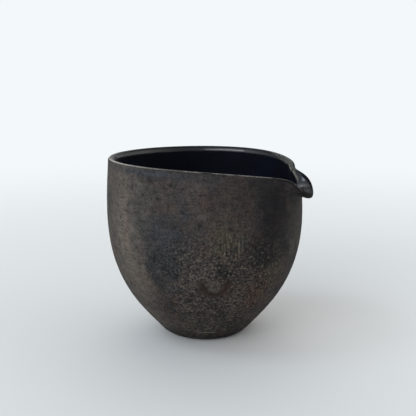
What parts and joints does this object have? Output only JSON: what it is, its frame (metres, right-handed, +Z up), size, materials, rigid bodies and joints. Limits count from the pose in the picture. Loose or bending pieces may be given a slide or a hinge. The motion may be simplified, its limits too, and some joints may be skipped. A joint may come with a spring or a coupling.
{
  "type": "lipped sake pourer",
  "caption": "Round, deep stoneware bowl on a small flat foot, with a rim that dips to a short folded pouring lip; matte outside, glazed inside.",
  "frame": {"origin": "centre of the flat foot, on the surface that the pourer stands on", "axes": "+Z up along the bowl's axis, +X from the axis towards the pouring lip"},
  "size_m": [0.1006, 0.0952, 0.0873],
  "materials": {
    "bare_clay": "matte",
    "matte_slip": "matte",
    "black_glaze": "gloss"
  },
  "bodies": {
    "root": {"base": "bare_clay", "body_wall": "bare_clay", "pouring_lip": "bare_clay", "outer_slip": "matte_slip", "inner_glaze": "black_glaze"}
  },
  "joints": []
}
